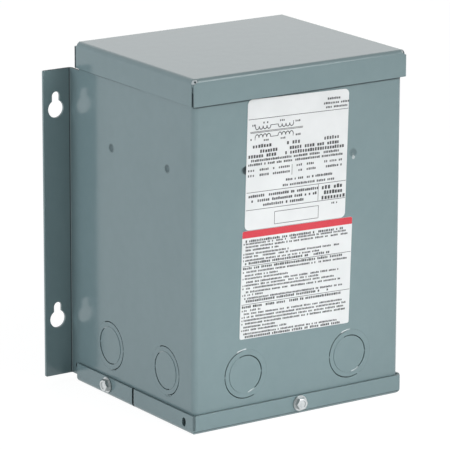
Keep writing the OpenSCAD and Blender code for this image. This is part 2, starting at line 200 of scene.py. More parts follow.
def rounded_edge_group():
    """A normal that rounds sheared edges, and a mask of those edges broken up by small wear."""
    g, given, put = new_group(
        "rounded_edge",
        [("Position", "Vector", None), ("Radius", "Float", 0.0003), ("Wear Size", "Float", 0.003)],
        [("Normal", "Vector"), ("Edge", "Float")],
    )
    bevel = g.add("ShaderNodeBevel", {"Radius": given["Radius"]}, samples=6)
    plain = g.add("ShaderNodeNewGeometry")
    turned = g.add(
        "ShaderNodeVectorMath",
        {0: bevel.outputs[0], 1: plain.outputs["Normal"]},
        operation="DOT_PRODUCT",
    )
    edge = g.between(turned.outputs["Value"], 0.995, 0.86)
    noise = g.add(
        "ShaderNodeTexNoise",
        {
            "Vector": given["Position"],
            "Scale": g.math("DIVIDE", 1.0, given["Wear Size"]),
            "Detail": 2.0,
        },
    )
    broken = g.math("MULTIPLY", edge, g.between(noise.outputs[0], 0.35, 0.65, 0.35, 1.0))
    g.tree.links.new(bevel.outputs[0], put["Normal"])
    g.tree.links.new(broken, put["Edge"])
    return g.tree


def speckle_group():
    """Sparse small specks, such as dust in a coat or sand in resin."""
    g, given, put = new_group(
        "speckle",
        [("Position", "Vector", None), ("Spacing", "Float", 0.006), ("Speck Size", "Float", 0.06)],
        [("Speck", "Float")],
    )
    cells = g.add(
        "ShaderNodeTexVoronoi",
        {"Vector": given["Position"], "Scale": g.math("DIVIDE", 1.0, given["Spacing"])},
    )
    speck = g.between(cells.outputs["Distance"], given["Speck Size"], 0.0)
    g.tree.links.new(speck, put["Speck"])
    return g.tree


def bare_end_group():
    """A mask of the sheet's cut ends that face along one axis, between two distances on that axis."""
    g, given, put = new_group(
        "bare_end",
        [
            ("Position", "Vector", None),
            ("Axis", "Vector", (0, 0, 1)),
            ("From", "Float", 0.0),
            ("To", "Float", 1.0),
            ("Strength", "Float", 1.0),
        ],
        [("Mask", "Float")],
    )
    facing = g.add(
        "ShaderNodeVectorMath",
        {0: g.add("ShaderNodeNewGeometry").outputs["True Normal"], 1: given["Axis"]},
        operation="DOT_PRODUCT",
    )
    along = g.add(
        "ShaderNodeVectorMath", {0: given["Position"], 1: given["Axis"]}, operation="DOT_PRODUCT"
    )
    distance = g.math("ABSOLUTE", along.outputs["Value"])
    turned = g.math("GREATER_THAN", g.math("ABSOLUTE", facing.outputs["Value"]), 0.9)
    beyond = g.math("GREATER_THAN", distance, given["From"])
    within = g.math("LESS_THAN", distance, given["To"])
    mask = g.math("MULTIPLY", turned, g.math("MULTIPLY", beyond, within))
    g.tree.links.new(g.math("MULTIPLY", mask, given["Strength"]), put["Mask"])
    return g.tree


def soft_line_group():
    """A mask of a strip that fades out round a box, given by its lowest and highest corners."""
    g, given, put = new_group(
        "soft_line",
        [
            ("Position", "Vector", None),
            ("Low", "Vector", (0, 0, 0)),
            ("High", "Vector", (1, 1, 1)),
            ("Softness", "Float", 0.0003),
            ("Strength", "Float", 1.0),
        ],
        [("Mask", "Float")],
    )
    parts = [g.add("ShaderNodeSeparateXYZ", {0: value}).outputs for value in given[:3]]
    mask = given["Strength"]
    for place, low, high in zip(*parts):
        beyond = g.between(place, g.math("SUBTRACT", low, given["Softness"]), low)
        within = g.between(place, high, g.math("ADD", high, given["Softness"]), 1.0, 0.0)
        mask = g.math("MULTIPLY", mask, g.math("MULTIPLY", beyond, within))
    g.tree.links.new(mask, put["Mask"])
    return g.tree


def round_mark_group():
    """A mask of a round mark with a soft rim."""
    g, given, put = new_group(
        "round_mark",
        [
            ("Position", "Vector", None),
            ("Centre", "Vector", (0, 0, 0)),
            ("Radius", "Float", 0.001),
            ("Strength", "Float", 1.0),
        ],
        [("Mask", "Float")],
    )
    reach = g.add(
        "ShaderNodeVectorMath", {0: given["Position"], 1: given["Centre"]}, operation="DISTANCE"
    )
    core = g.math("MULTIPLY", given["Radius"], 0.75)
    mask = g.between(reach.outputs["Value"], core, given["Radius"], 1.0, 0.0)
    g.tree.links.new(g.math("MULTIPLY", mask, given["Strength"]), put["Mask"])
    return g.tree


CLOUDINESS = cloudiness_group()
ORANGE_PEEL = orange_peel_group()
ROUNDED_EDGE = rounded_edge_group()
SPECKLE = speckle_group()
BARE_END = bare_end_group()
SOFT_LINE = soft_line_group()
ROUND_MARK = round_mark_group()


class Finish(Graph):
    """A material while it is being built, on a Principled BSDF."""

    def __init__(self, name, **shader):
        self.material = bpy.data.materials.new(name)
        self.material.use_nodes = True
        super().__init__(self.material.node_tree)
        self.tree.nodes.clear()
        self.shader = self.add("ShaderNodeBsdfPrincipled", shader)
        self.add("ShaderNodeOutputMaterial", {"Surface": self.shader.outputs[0]})
        self.position = self.add("ShaderNodeTexCoord").outputs["Object"]

    def effect(self, group, **values):
        """Places one of the shared effects with this finish's own values."""
        named = {name.replace("_", " "): value for name, value in values.items()}
        made = self.add("ShaderNodeGroup", node_tree=group)
        for name, value in {"Position": self.position, **named}.items():
            self.fill(made.inputs[name], value)
        return made.outputs

    def feed(self, socket, value):
        self.tree.links.new(value, self.shader.inputs[socket])


def enamel_finish(
    name, edges, bare=(), lines=(), marks=(), thin=(), coat=(ENAMEL, ENAMEL_PALE), index=1.5
):
    """Semi-gloss grey enamel baked on sheet steel. edges says whether sheared edges are rounded.
    bare gives the cut ends that are left dark, each as (axis, lowest and highest distance on it,
    strength), and lines the strips of painted shade, each as (lowest corner, highest corner,
    strength). marks are the (centre, radius, strength) of round marks of painted shade, and thin
    those of pale round marks of painted highlight. coat is the enamel's two shades, and index its
    refractive index."""
    f = Finish(name, IOR=index)
    cloud = f.effect(CLOUDINESS, Size=0.045, Stretch_Down=1.6)["Shade"]
    mottle = f.effect(CLOUDINESS, Size=0.007)["Shade"]
    peel = f.effect(ORANGE_PEEL, Size=0.0017, Fine_Share=0.35)["Height"]
    dust = f.effect(SPECKLE, Spacing=0.011, Speck_Size=0.035)["Speck"]
    shade = f.math("ADD", f.math("MULTIPLY", cloud, 0.6), f.math("MULTIPLY", mottle, 0.4))
    colour = f.blend(shade, *coat)
    colour = f.blend(f.math("MULTIPLY", dust, 0.25), colour, PRIMER_AND_HIGHLIGHT)
    roughness = f.between(shade, 0.0, 1.0, 0.13, 0.17)
    bump = {"Height": peel, "Distance": 0.00005, "Strength": 0.12}
    if edges:
        rounded = f.effect(ROUNDED_EDGE, Radius=0.0003, Wear_Size=0.004)
        colour = f.blend(f.math("MULTIPLY", rounded["Edge"], 0.35), colour, PRIMER_AND_HIGHLIGHT)
        bump["Normal"] = rounded["Normal"]
    dark = [
        f.effect(BARE_END, Axis=axis, From=low, To=high, Strength=strength)["Mask"]
        for axis, low, high, strength in bare
    ]
    dark += [
        f.effect(SOFT_LINE, Low=low, High=high, Strength=strength)["Mask"]
        for low, high, strength in lines
    ]
    dark += [
        f.effect(ROUND_MARK, Centre=centre, Radius=radius, Strength=strength)["Mask"]
        for centre, radius, strength in marks
    ]
    # The cut ends take bare steel's colour, and the strips and round marks are painted shade in the
    # same dark colour.
    if dark:
        bare_and_painted_shade = dark[0]
        for mask in dark[1:]:
            bare_and_painted_shade = f.math("MAXIMUM", bare_and_painted_shade, mask)
        colour = f.blend(bare_and_painted_shade, colour, f.blend(mottle, BARE_STEEL_AND_SHADE, RUST_AND_SHADE))
        roughness = f.math("ADD", roughness, f.math("MULTIPLY", bare_and_painted_shade, 0.5))
    # thin marks are painted highlights, pale where a slope would catch the light.
    for centre, radius, strength in thin:
        pale = f.effect(ROUND_MARK, Centre=centre, Radius=radius, Strength=strength)["Mask"]
        colour = f.blend(pale, colour, PAINTED_HIGHLIGHT)
    f.feed("Base Color", colour)
    f.feed("Roughness", roughness)
    f.feed("Normal", f.add("ShaderNodeBump", bump).outputs[0])
    return f.material


def zinc_finish(name, axis):
    """Bright zinc plate with a faint crystalline mottle, and painted shade on the flanks, which are
    drawn darker than the ends. axis is the screw's."""
    f = Finish(name, Metallic=1.0)
    mottle = f.effect(CLOUDINESS, Size=0.003)["Shade"]
    grain = f.effect(ORANGE_PEEL, Size=0.0004, Fine_Share=0.5)["Height"]
    rounded = f.effect(ROUNDED_EDGE, Radius=0.00025, Wear_Size=0.001)
    facing = f.add(
        "ShaderNodeVectorMath",
        {0: f.add("ShaderNodeNewGeometry").outputs["True Normal"], 1: axis},
        operation="DOT_PRODUCT",
    )
    # painted shade: the flanks, turned away from the screw's axis, get a darker zinc
    flank_shade = f.between(f.math("ABSOLUTE", facing.outputs["Value"]), 0.35, 0.6, 1.0, 0.0)
    colour = f.blend(mottle, ZINC_DULL, ZINC)
    f.feed("Base Color", f.blend(flank_shade, colour, ZINC_FLANK_SHADE))
    f.feed("Roughness", f.between(mottle, 0.0, 1.0, 0.38, 0.28))
    bump = f.add(
        "ShaderNodeBump",
        {"Height": grain, "Distance": 0.00004, "Strength": 0.2, "Normal": rounded["Normal"]},
    )
    f.feed("Normal", bump.outputs[0])
    return f.material


def film_finish():
    """Satin white polyester film, stuck down on the enamel."""
    f = Finish("label_film", IOR=1.45)
    cloud = f.effect(CLOUDINESS, Size=0.02)["Shade"]
    ripple = f.effect(ORANGE_PEEL, Size=0.006, Fine_Share=0.1)["Height"]
    dust = f.effect(SPECKLE, Spacing=0.009, Speck_Size=0.03)["Speck"]
    rounded = f.effect(ROUNDED_EDGE, Radius=0.00025, Wear_Size=0.002)
    colour = f.blend(cloud, FILM_SHADE, FILM)
    colour = f.blend(f.math("MULTIPLY", dust, 0.2), colour, ENAMEL)
    colour = f.blend(f.math("MULTIPLY", rounded["Edge"], 0.4), colour, FILM_SHADE)
    f.feed("Base Color", colour)
    f.feed("Roughness", f.between(cloud, 0.0, 1.0, 0.38, 0.32))
    bump = f.add("ShaderNodeBump", {"Height": ripple, "Distance": 0.00008, "Strength": 0.15})
    f.feed("Normal", bump.outputs[0])
    return f.material


def ink_finish(name, full, thin, cover):
    """Printing ink that lies a little unevenly. cover is how solid its thin places are."""
    f = Finish(name, IOR=1.45)
    grain = f.effect(CLOUDINESS, Size=0.0008)["Shade"]
    cloud = f.effect(CLOUDINESS, Size=0.012)["Shade"]
    shade = f.between(f.math("ADD", grain, cloud), 0.4, 1.6, 0.0, cover)
    f.feed("Base Color", f.blend(shade, full, thin))
    f.feed("Roughness", f.between(cloud, 0.0, 1.0, 0.42, 0.5))
    return f.material


def potting_finish():
    """Dull black resin with sand in it."""
    f = Finish("potting_resin", IOR=1.5)
    cloud = f.effect(CLOUDINESS, Size=0.02)["Shade"]
    sand = f.effect(SPECKLE, Spacing=0.0022, Speck_Size=0.3)["Speck"]
    grain = f.effect(ORANGE_PEEL, Size=0.003, Fine_Share=0.5)["Height"]
    colour = f.blend(f.math("MULTIPLY", sand, f.between(cloud, 0.0, 1.0, 0.3, 0.8)), RESIN, SAND)
    f.feed("Base Color", colour)
    f.feed("Roughness", f.between(cloud, 0.0, 1.0, 0.6, 0.8))
    bump = f.add("ShaderNodeBump", {"Height": grain, "Distance": 0.0006, "Strength": 0.5})
    f.feed("Normal", bump.outputs[0])
    return f.material


ACROSS, DEEP, UP = (1.0, 0.0, 0.0), (0.0, 1.0, 0.0), (0.0, 0.0, 1.0)


def in_metres(*sizes):
    return tuple(size * MM for size in sizes)


# ---- where the finishes change, from the frame's own boxes ----

# the outer faces of the case's front wall and of its right wall
FRONT_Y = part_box("case")[0].y
SIDE_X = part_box("knockout_ring_right_front")[1].x
LID_LOW, LID_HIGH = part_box("lid")
COVER_LOW, COVER_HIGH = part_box("front_cover")
TRAY_FRONT_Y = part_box("rear_tray")[0].y
LID_FOOT = LID_LOW.z
# the mounting flanges end this far below the lid's foot
FLANGE_DROP = 1.6 * MM
# the front cover's side flanges start this far behind its front
COVER_SETBACK = 0.2 * MM
# how high the middles of the pressed dimples are
DIMPLE_Z = 147.5 * MM


def near(place, below, above):
    """The two ends of a stretch that reaches from so many millimetres below a place to above it."""
    return place - below * MM, place + above * MM


def strip(across, deep, up, strength):
    """A dark strip as enamel_finish takes it, from its stretch on each axis."""
    low, high = zip(across, deep, up)
    return low, high, strength


def on_both_sides(strips):
    """The given strips, which are on the left, and their mirror images on the right."""
    mirrored = [
        ((-high[0], low[1], low[2]), (-low[0], high[1], high[2]), strength)
        for low, high, strength in strips
    ]
    return strips + mirrored


def case_painted_shade():
    """Painted shade on the case: painted shadow below the lid's skirts, and painted shade behind the
    gap between the trays and in the bends to the flanges.
    """
    face = near(-SIDE_X, 0.25, 0.25)
    bend = near(-SIDE_X, 0.7, -0.4)
    gap = COVER_HIGH.y + 0.05 * MM, TRAY_FRONT_Y - 0.05 * MM
    # painted shadow on the front wall below the lid's front skirt
    shadow_below_front_skirt = strip(
        (face[0], -face[0]), near(FRONT_Y, 0.15, 1.55), near(LID_FOOT, 1.05, 0.2), 0.85
    )
    return [shadow_below_front_skirt] + on_both_sides(
        [
            # painted shadow below the side skirts, painted shade behind the gap between the trays and
            # in the bends to the flanges
            strip(face, in_metres(-8, 57), near(LID_FOOT, 0.8, 0.2), 0.7),
            strip(face, in_metres(-60, -8), near(LID_FOOT, 0.6, 0.2), 0.3),
            strip(face, gap, in_metres(0, 11), 0.8),
            strip(bend, in_metres(60, 69), in_metres(0, 190), 1.0),
        ]
    )


def lid_painted_shade():
    """Painted shade on the lid: in the open corner seams at the front skirt's ends, darker towards the
    foot, and at the rear skirt's ends.
    """
    inner = near(LID_LOW.x, -0.35, 0.8)
    outer = near(LID_LOW.x, 0.05, 0.25)
    front = near(LID_LOW.y, -0.65, 1.75)
    return on_both_sides(
        [
            strip(inner, front, near(LID_FOOT, 0.3, 7.7), 1.0),
            strip(inner, front, near(LID_FOOT, -7.7, 10.7), 0.5),
            strip(outer, near(LID_HIGH.y, 1.35, 0.05), near(LID_FOOT, -0.1, 12.2), 1.0),
        ]
    )


def case_shade_marks():
    """Painted shade in the case's pressed dimples and inside its small holes, as dark round marks."""
    marks = [
        # painted shade in the front dimples; the left mark sits aside to read as a shadow
        ((-35.6 * MM, FRONT_Y, DIMPLE_Z), 3.1 * MM, 1.0),
        ((36.8 * MM, FRONT_Y, DIMPLE_Z + 0.5 * MM), 2.8 * MM, 0.35),
    ]
    for x in (-SIDE_X, SIDE_X):
        # painted shade in the side dimples, and inside the small holes
        marks += [((x, y, DIMPLE_Z), 3.0 * MM, 0.45) for y in in_metres(-35.55, 22.35)]
        marks.append(((x, *in_metres(60.75, 8.9)), 1.9 * MM, 1.0))
    return marks


ENAMEL_EDGED = enamel_finish("baked_enamel", True)
CASE_ENAMEL = enamel_finish(
    "baked_enamel_case",
    True,
    bare=[(UP, *near(LID_FOOT - FLANGE_DROP, 0.2, 0.2), 1.0)],
    lines=case_painted_shade(),
    marks=case_shade_marks(),
    # a pale mark of painted highlight on the front-right dimple's lower slope
    thin=[(in_metres(37.2, -62.2, 145.0), 1.2 * MM, 1.0)],
)
LID_ENAMEL = enamel_finish(
    "baked_enamel_lid",
    True,
    bare=[(UP, *near(LID_FOOT, 0.2, 0.2), 1.0)],
    lines=lid_painted_shade(),
)
TRAY_ENAMEL = enamel_finish(
    "baked_enamel_tray",
    True,
    bare=[
        (DEEP, *near(-COVER_LOW.y - COVER_SETBACK, 0.15, 0.15), 0.65),
        (DEEP, *near(-TRAY_FRONT_Y, 0.15, 0.15), 1.0),
        (UP, *near(COVER_HIGH.z, 0.2, 0.2), 0.45),
    ],
)
ENAMEL_FLUSH = enamel_finish("baked_enamel_flush", False)
# The lips' pale coat is a painted highlight along them.
LIP_ENAMEL = enamel_finish(
    "baked_enamel_on_lips", False, coat=(ENAMEL_PALE, PRIMER_AND_HIGHLIGHT), index=1.75
)
ZINC_FRONT = zinc_finish("zinc_plate_front", DEEP)
ZINC_SIDE = zinc_finish("zinc_plate_side", ACROSS)
LABEL_FILM = film_finish()
PRINT_INK = ink_finish("print_ink", INK, INK_THIN, 1.0)
BAND_INK = ink_finish("band_ink", BAND, BAND_THIN, 1.0)
POTTING = potting_finish()


def finish_nodes():
    """Gives every CAD node its finish."""
    finishes = {
        "case": CASE_ENAMEL,
        "lid": LID_ENAMEL,
        "front_cover": TRAY_ENAMEL,
        "rear_tray": TRAY_ENAMEL,
        "front_cover_screw": ZINC_FRONT,
        "left_tray_screw": ZINC_SIDE,
        "right_tray_screw": ZINC_SIDE,
        "rating_label": LABEL_FILM,
        "lower_label": LABEL_FILM,
        "potted_core": POTTING,
    }
    for name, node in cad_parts.items():
        plain = ENAMEL_FLUSH if name.startswith("knockout") else ENAMEL_EDGED
        node.data.materials.clear()
        node.data.materials.append(finishes.get(name, plain))


# ---- geometry trees ----


def ink_rows_tree():
    """Rows of print as small ink blocks. The rows are edges, each with its height as "cap"."""
    g, given, put = new_group(
        "ink_rows",
        [
            ("Rows", "Geometry", None),
            ("Pitch", "Float", 0.85),
            ("Inked Share", "Float", 0.84),
            ("Space Share", "Float", 0.14),
            ("Thickness", "Float", INK_T),
            ("Ink", "Material", None),
            ("Seed", "Int", 0),
        ],
        [("Print", "Geometry")],
        "GeometryNodeTree",
    )
    cap = g.add("GeometryNodeInputNamedAttribute", {"Name": "cap"}, data_type="FLOAT").outputs[0]
    pitch = g.math("MULTIPLY", cap, given["Pitch"])
    rows = g.add("GeometryNodeMeshToCurve", {"Mesh": given["Rows"]})
    places = g.add(
        "GeometryNodeCurveToPoints", {"Curve": rows.outputs[0], "Length": pitch}, mode="LENGTH"
    )
    space = g.add(
        "FunctionNodeRandomValue",
        {"Probability": given["Space Share"], "Seed": given["Seed"]},
        data_type="BOOLEAN",
    )
    inked_places = g.add(
        "GeometryNodeDeleteGeometry", {"Geometry": places.outputs[0], "Selection": space.outputs[3]}
    )
    tall, wide = (
        g.add(
            "FunctionNodeRandomValue",
            {2: low, 3: high, "Seed": g.math("ADD", given["Seed"], step)},
            data_type="FLOAT",
        ).outputs[1]
        for low, high, step in ((0.76, 1.0, 1.0), (0.72, 1.0, 2.0))
    )
    size = g.add(
        "ShaderNodeCombineXYZ",
        {
            "X": g.math("MULTIPLY", g.math("MULTIPLY", pitch, given["Inked Share"]), wide),
            "Y": g.math("MULTIPLY", cap, tall),
            "Z": given["Thickness"],
        },
    )
    block = g.add("GeometryNodeMeshCube", {"Size": (1.0, 1.0, 1.0)})
    seated = g.add(
        "GeometryNodeTransform", {"Geometry": block.outputs[0], "Translation": (0.5, 0.5, 0.5)}
    )
    laid = g.add(
        "GeometryNodeInstanceOnPoints",
        {
            "Points": inked_places.outputs[0],
            "Instance": seated.outputs[0],
            "Scale": size.outputs[0],
        },
    )
    real = g.add("GeometryNodeRealizeInstances", {"Geometry": laid.outputs[0]})
    inked = g.add("GeometryNodeSetMaterial", {"Geometry": real.outputs[0], "Material": given["Ink"]})
    g.tree.links.new(inked.outputs[0], put["Print"])
    return g.tree


def add_strokes(g, curves, width, thickness, ink):
    """Flat strokes along curves that lie in the XY plane, standing on it."""
    across = g.add("GeometryNodeCurvePrimitiveQuadrilateral", {"Width": width, "Height": thickness})
    # the section's Y points down on a curve whose normal is kept level
    lift = g.add("ShaderNodeCombineXYZ", {"Y": g.math("MULTIPLY", thickness, -0.5)})
    section = g.add(
        "GeometryNodeTransform", {"Geometry": across.outputs[0], "Translation": lift.outputs[0]}
    )
    flat = g.add("GeometryNodeSetCurveNormal", {"Curve": curves}, mode="Z_UP")
    solid = g.add(
        "GeometryNodeCurveToMesh",
        {"Curve": flat.outputs[0], "Profile Curve": section.outputs[0], "Fill Caps": True},
    )
    real = g.add("GeometryNodeRealizeInstances", {"Geometry": solid.outputs[0]})
    return g.add("GeometryNodeSetMaterial", {"Geometry": real.outputs[0], "Material": ink}).outputs[0]


def ruled_lines_tree():
    """Printed rules, frames and dividers along edges."""
    g, given, put = new_group(
        "ruled_lines",
        [
            ("Lines", "Geometry", None),
            ("Line Width", "Float", 0.0003),
            ("Thickness", "Float", INK_T),
            ("Ink", "Material", None),
        ],
        [("Print", "Geometry")],
        "GeometryNodeTree",
    )
    lines = g.add("GeometryNodeMeshToCurve", {"Mesh": given["Lines"]})
    drawn = add_strokes(g, lines.outputs[0], given["Line Width"], given["Thickness"], given["Ink"])
    g.tree.links.new(drawn, put["Print"])
    return g.tree


def windings_tree():
    """Winding symbols: a row of half-round turns from each point. "side" is how tall the turns are,
    as a multiple of a half circle's height, and is below 0 for turns that bulge down."""
    g, given, put = new_group(
        "windings",
        [
            ("Starts", "Geometry", None),
            ("Turns", "Int", 4),
            ("Turn Width", "Float", 0.0018),
            ("Line Width", "Float", 0.0003),
            ("Thickness", "Float", INK_T),
            ("Ink", "Material", None),
        ],
        [("Print", "Geometry")],
        "GeometryNodeTree",
    )
    arc = g.add(
        "GeometryNodeCurveArc",
        {
            "Resolution": 9,
            "Radius": g.math("MULTIPLY", given["Turn Width"], 0.5),
            "Start Angle": 0.0,
            "Sweep Angle": math.pi,
        },
    )
    step = g.add("ShaderNodeCombineXYZ", {"X": given["Turn Width"]})
    spots = g.add("GeometryNodeMeshLine", {"Count": given["Turns"], "Offset": step.outputs[0]})
    coil = g.add(
        "GeometryNodeInstanceOnPoints", {"Points": spots.outputs[0], "Instance": arc.outputs[0]}
    )
    side = g.add("GeometryNodeInputNamedAttribute", {"Name": "side"}, data_type="FLOAT").outputs[0]
    size = g.add("ShaderNodeCombineXYZ", {"X": 1.0, "Y": side, "Z": 1.0})
    coils = g.add(
        "GeometryNodeInstanceOnPoints",
        {"Points": given["Starts"], "Instance": coil.outputs[0], "Scale": size.outputs[0]},
    )
    real = g.add("GeometryNodeRealizeInstances", {"Geometry": coils.outputs[0]})
    drawn = add_strokes(g, real.outputs[0], given["Line Width"], given["Thickness"], given["Ink"])
    g.tree.links.new(drawn, put["Print"])
    return g.tree


def knockout_lips_tree():
    """Low lips beside the ties of each knockout. The points' "turn" is each one's rotation."""
    g, given, put = new_group(
        "knockout_lips",
        [
            ("Knockouts", "Geometry", None),
            ("Lip Width", "Float", 0.0010),
            ("Lip Height", "Float", 0.0003),
            ("Finish", "Material", None),
        ],
        [("Lips", "Geometry")],
        "GeometryNodeTree",
    )
    lips = g.add("GeometryNodeJoinGeometry")
    # each lip: radius of its circle, middle angle, swept angle, and which way its long slope faces
    outer_lip, inner_lip = (OUTER_R, 102.0, 26.0, 1.0), (INNER_R, -70.0, 27.0, -1.0)
    for radius, middle, swept, outward in (outer_lip, inner_lip):
        arc = g.add(
            "GeometryNodeCurveArc",
            {
                "Resolution": 15,
                "Radius": radius,
                "Start Angle": math.radians(middle - swept / 2),
                "Sweep Angle": math.radians(swept),
            },
        )
        along = g.add("GeometryNodeSplineParameter").outputs["Factor"]
        ends = g.math("MULTIPLY", g.math("MULTIPLY", along, g.math("SUBTRACT", 1.0, along)), 4.0)
        taper = g.add(
            "GeometryNodeSetCurveRadius",
            {
                "Curve": arc.outputs[0],
                "Radius": g.math("POWER", g.math("MAXIMUM", ends, 0.004), 0.5),
            },
        )
        corners = []
        feet, ridge = ((0.5, -0.3), (-0.5, -0.3)), ((-0.3 * outward, 1.0), (-0.1 * outward, 1.0))
        for across, up in feet + ridge:
            corner = g.add(
                "ShaderNodeCombineXYZ",
                {
                    "X": g.math("MULTIPLY", given["Lip Width"], across),
                    "Y": g.math("MULTIPLY", given["Lip Height"], -up),
                },
            )
            corners.append(corner.outputs[0])
        section = g.add(
            "GeometryNodeCurvePrimitiveQuadrilateral",
            {f"Point {k + 1}": corners[k] for k in range(4)},
            mode="POINTS",
        )
        flat = g.add("GeometryNodeSetCurveNormal", {"Curve": taper.outputs[0]}, mode="Z_UP")
        lip = g.add(
            "GeometryNodeCurveToMesh",
            {"Curve": flat.outputs[0], "Profile Curve": section.outputs[0], "Fill Caps": True},
        )
        g.tree.links.new(lip.outputs[0], lips.inputs[0])
    turn = g.add(
        "GeometryNodeInputNamedAttribute", {"Name": "turn"}, data_type="FLOAT_VECTOR"
    ).outputs[0]
    placed = g.add(
        "GeometryNodeInstanceOnPoints",
        {"Points": given["Knockouts"], "Instance": lips.outputs[0], "Rotation": turn},
    )
    real = g.add("GeometryNodeRealizeInstances", {"Geometry": placed.outputs[0]})
    crisp = g.add(
        "GeometryNodeSetShadeSmooth", {"Geometry": real.outputs[0], "Shade Smooth": False}
    )
    done = g.add(
        "GeometryNodeSetMaterial", {"Geometry": crisp.outputs[0], "Material": given["Finish"]}
    )
    g.tree.links.new(done.outputs[0], put["Lips"])
    return g.tree


def grown(name, points, edges, attributes, tree, values, place=Matrix.Identity(4)):
    """Runs a geometry tree on points and edges, and returns its result as a plain mesh object."""
    seed_mesh = bpy.data.meshes.new(name + "_seed")
    seed_mesh.from_pydata(points, edges, [])
    for label, kind, numbers in attributes:
        layer = seed_mesh.attributes.new(label, kind, "POINT")
        field = "vector" if kind == "FLOAT_VECTOR" else "value"
        layer.data.foreach_set(field, numbers)
    seed = bpy.data.objects.new(name + "_seed", seed_mesh)
    bpy.context.scene.collection.objects.link(seed)
    modifier = seed.modifiers.new("grow", "NODES")
    modifier.node_group = tree
    for item in tree.interface.items_tree:
        if item.in_out == "INPUT" and item.name in values:
            modifier[item.identifier] = values[item.name]
    depsgraph = bpy.context.evaluated_depsgraph_get()
    mesh = bpy.data.meshes.new_from_object(seed.evaluated_get(depsgraph))
    bpy.data.objects.remove(seed)
    mesh.transform(place)
    mesh.name = name
    return mesh


def join_pieces(name, meshes):
    """One plain mesh object out of several meshes, riding on the fixed body."""
    parts = []
    for mesh in meshes:
        part = bpy.data.objects.new(name, mesh)
        bpy.context.scene.collection.objects.link(part)
        parts.append(part)
    with bpy.context.temp_override(active_object=parts[0], selected_editable_objects=parts):
        bpy.ops.object.join()
    piece = parts[0]
    piece.name = name
    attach(piece, "root")
    return piece


# ---- print on the labels ----


def label_place(node, size):
    """From a label's own drawing (X right, Y up, from its top left corner) to its face on the case."""
    low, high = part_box(node)
    centre = Vector(((low.x + high.x) / 2, low.y, (low.z + high.z) / 2))
    stand = Matrix(((1, 0, 0, 0), (0, 0, -1, 0), (0, 1, 0, 0), (0, 0, 0, 1)))
    turn = Matrix.Rotation(-LABEL_TURN, 4, "Z")
    corner = Matrix.Translation((-size[0] / 2, size[1] / 2, 0))
    return Matrix.Translation(centre) @ stand @ turn @ corner


def print_rows(name, rows, place, seed):
    """rows are (left, right, foot, cap height) in millimetres, the foot counted down from the top."""
    points, edges, caps = [], [], []
    for left, right, foot, cap in rows:
        edges.append((len(points), len(points) + 1))
        points += [(left * MM, -foot * MM, 0), (right * MM, -foot * MM, 0)]
        caps += [cap * MM] * 2
    values = {"Ink": PRINT_INK, "Seed": seed}
    return grown(name, points, edges, [("cap", "FLOAT", caps)], INK_ROWS, values, place)


def print_lines(name, lines, width, place):
    """lines are (x, y, x, y) in millimetres, counted right and down from the top left corner."""
    points, edges = [], []
    for x0, y0, x1, y1 in lines:
        edges.append((len(points), len(points) + 1))
        points += [(x0 * MM, -y0 * MM, 0), (x1 * MM, -y1 * MM, 0)]
    values = {"Ink": PRINT_INK, "Line Width": width * MM}
    return grown(name, points, edges, [], RULED_LINES, values, place)


def print_windings(name, starts, turns, place):
    """starts are (x, y, side), x and y in millimetres as in print_lines."""
    turn_width, line_width = in_metres(2.6, 0.5)
    points = [(x * MM, -y * MM, 0) for x, y, side in starts]
    sides = [side for x, y, side in starts]
    values = {"Ink": PRINT_INK, "Turns": turns, "Turn Width": turn_width, "Line Width": line_width}
    return grown(name, points, [], [("side", "FLOAT", sides)], WINDINGS, values, place)


